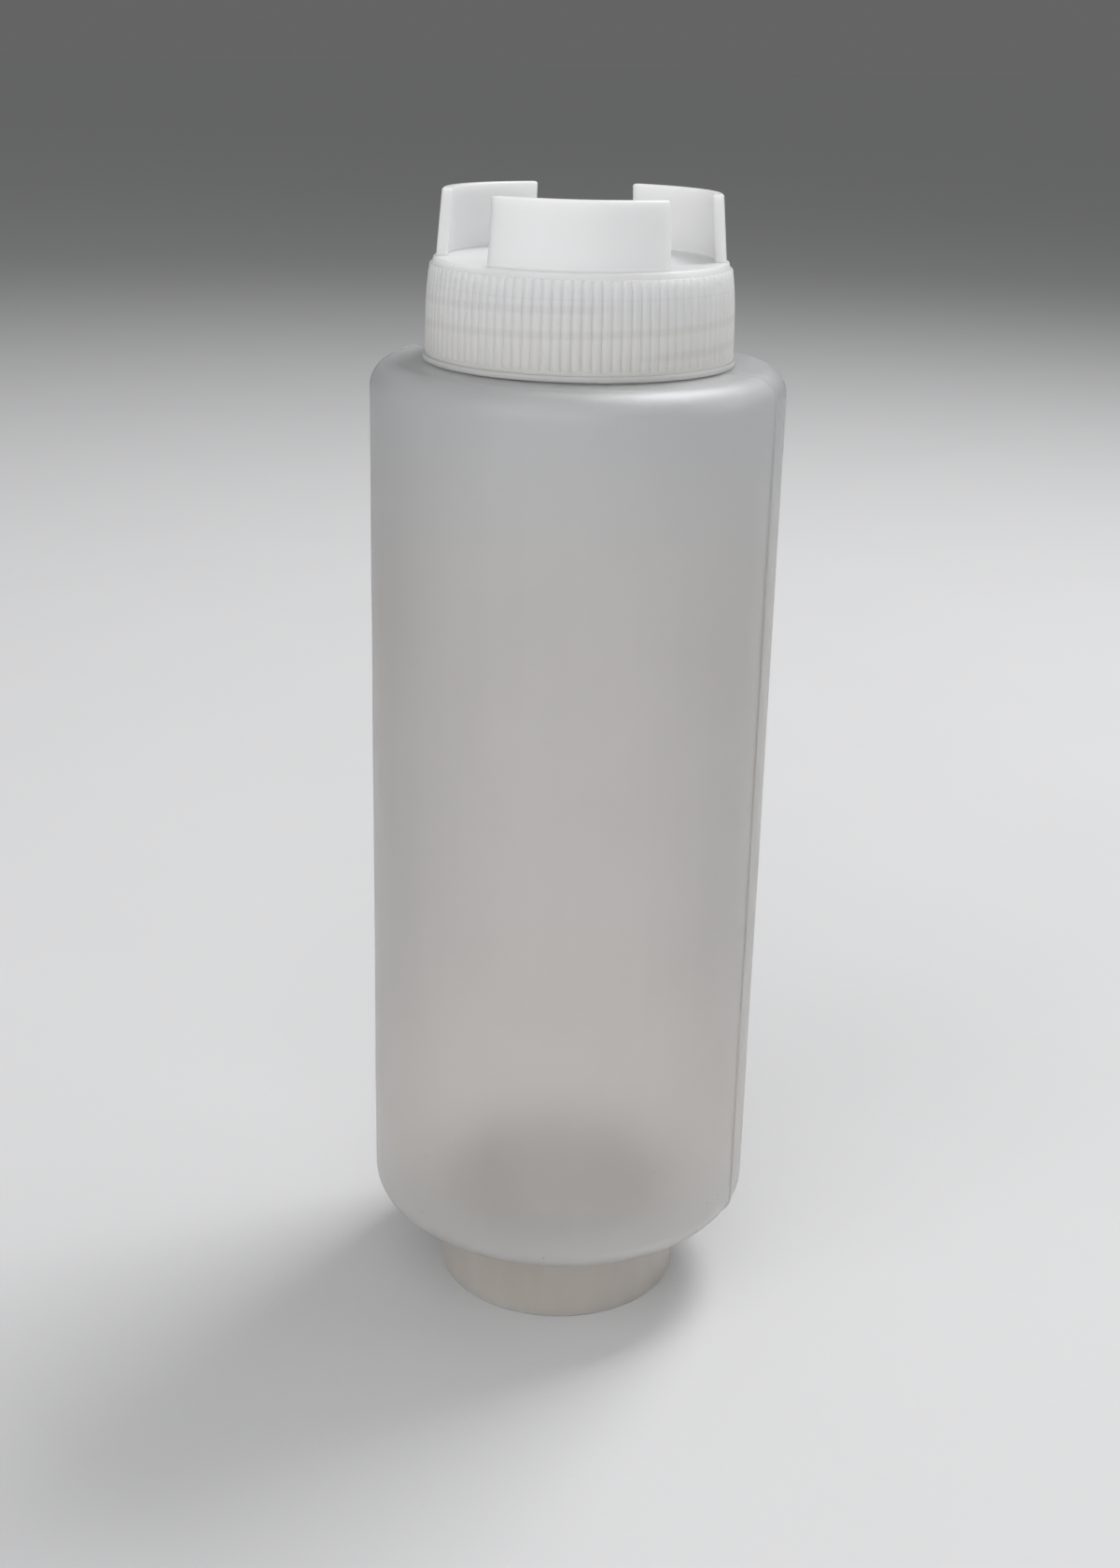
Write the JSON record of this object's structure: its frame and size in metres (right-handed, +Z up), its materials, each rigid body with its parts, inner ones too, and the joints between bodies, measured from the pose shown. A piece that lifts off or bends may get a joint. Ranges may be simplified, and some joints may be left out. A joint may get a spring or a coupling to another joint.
{
  "type": "condiment dispenser",
  "caption": "Two-ended translucent squeeze bottle with a ribbed dispensing cap, curved stand legs round a slit valve, and a smooth refill cap as its foot.",
  "frame": {"origin": "centre of the bottle's footprint, on the surface that the refill cap stands on", "axes": "+Z up along the bottle's axis towards the dispensing cap, -Y towards the middle of one stand leg"},
  "size_m": [0.076, 0.076, 0.218],
  "materials": {
    "bottle": "milky translucent blow-moulded polyethylene, satin",
    "cap": "natural white moulded polypropylene, satin",
    "valve": "clear-white silicone rubber, soft matt",
    "clamp_ring": "natural white moulded polypropylene, satin",
    "refill_cap": "translucent moulded polypropylene, satin",
    "liner": "white foamed polyethylene, matt"
  },
  "bodies": {
    "bottle": {"bottle_body": "bottle"},
    "dispensing_carrier": {"valve_clamp_ring": "clamp_ring"},
    "dispensing_closure": {"dispensing_cap": "cap", "dispensing_valve": "valve"},
    "refill_carrier": {"refill_cap_liner": "liner"},
    "refill_closure": {"refill_cap": "refill_cap"}
  },
  "joints": [
    {"name": "dispensing_cap_lift", "type": "slide", "parent": "bottle", "child": "dispensing_carrier", "axis": [0, 0, 1], "range_m": [0, 0.01694]},
    {"name": "dispensing_cap_turn", "type": "hinge", "parent": "dispensing_carrier", "child": "dispensing_closure", "pos_m": [0, 0, 0.1884], "axis": [0, 0, 1], "range_deg": [0, 1440]},
    {"name": "refill_cap_lift", "type": "slide", "parent": "bottle", "child": "refill_carrier", "axis": [0, 0, -1], "range_m": [0, 0.01694]},
    {"name": "refill_cap_turn", "type": "hinge", "parent": "refill_carrier", "child": "refill_closure", "pos_m": [0, 0, 0], "axis": [0, 0, -1], "range_deg": [0, 1440]}
  ],
  "couplings": [
    {"joint": "dispensing_cap_lift", "follows": "dispensing_cap_turn", "m_per_rad": 0.00067375},
    {"joint": "refill_cap_lift", "follows": "refill_cap_turn", "m_per_rad": 0.00067375}
  ]
}
